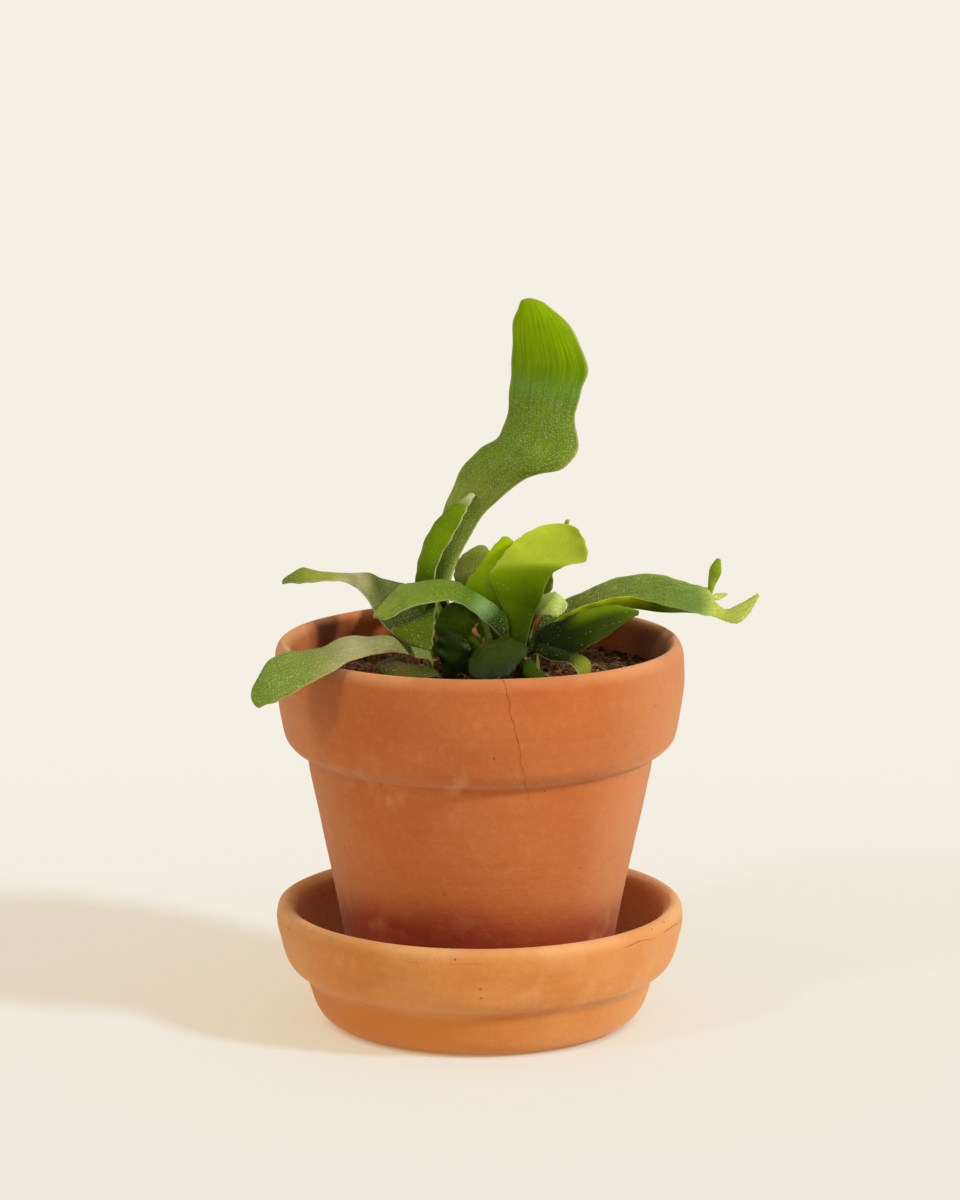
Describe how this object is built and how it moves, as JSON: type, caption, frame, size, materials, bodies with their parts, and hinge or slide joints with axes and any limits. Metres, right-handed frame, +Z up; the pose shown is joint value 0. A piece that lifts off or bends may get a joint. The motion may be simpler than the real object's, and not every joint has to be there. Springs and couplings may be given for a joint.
{
  "type": "staghorn fern in a clay pot",
  "caption": "Young staghorn fern with arching, forked strap fronds, growing in a collared clay flower pot that stands in a deep clay saucer.",
  "frame": {"origin": "centre of the saucer's flat underside, on the surface that the plant stands on", "axes": "+Z up through the middle of the pot; -Y towards the front of the plant, where the round shield leaf lies; +X to its right, towards the long forked frond"},
  "size_m": [0.1585, 0.1372, 0.2306],
  "materials": {
    "saucer_clay": "unglazed orange clay, matt, a little scuffed",
    "pot_clay": "unglazed red-brown clay, matt, darker and damp near the foot, with pale bloom",
    "soil": "dark, loose bark and peat mix",
    "crown": "knobbly creeping stem with brown scales",
    "frond_upper": "fresh green, leathery, thinly covered with pale starry hairs",
    "frond_under": "olive green underside, dull, with dense pale starry hairs",
    "frond_young": "young yellow-green, thin and smooth",
    "frond_dark": "dark green, smooth, slightly glossy",
    "dry_scale": "dry, tan, papery"
  },
  "bodies": {
    "root": {"saucer": "saucer_clay", "pot": "pot_clay", "soil": "soil", "crown": "crown", "folded_frond": "frond_upper", "left_arching_frond": "frond_upper", "left_hanging_frond": "frond_upper", "over_rim_frond": "frond_upper", "right_forked_frond": "frond_upper", "front_curled_frond": "frond_upper", "low_left_leaf": "frond_upper", "back_left_frond": "frond_upper", "back_middle_frond": "frond_upper", "back_right_frond": "frond_upper", "back_upright_frond": "frond_upper", "tall_frond": "frond_under", "left_twisted_frond": "frond_under", "grey_back_frond": "frond_under", "lime_frond": "frond_young", "middle_frond": "frond_young", "narrow_back_frond": "frond_young", "short_front_frond": "frond_young", "shield_leaf": "frond_dark", "heart_shield_leaf": "frond_dark", "heart_leaf": "frond_dark", "right_lower_frond": "frond_dark", "low_front_leaf": "frond_dark", "dry_scale": "dry_scale"}
  },
  "joints": []
}
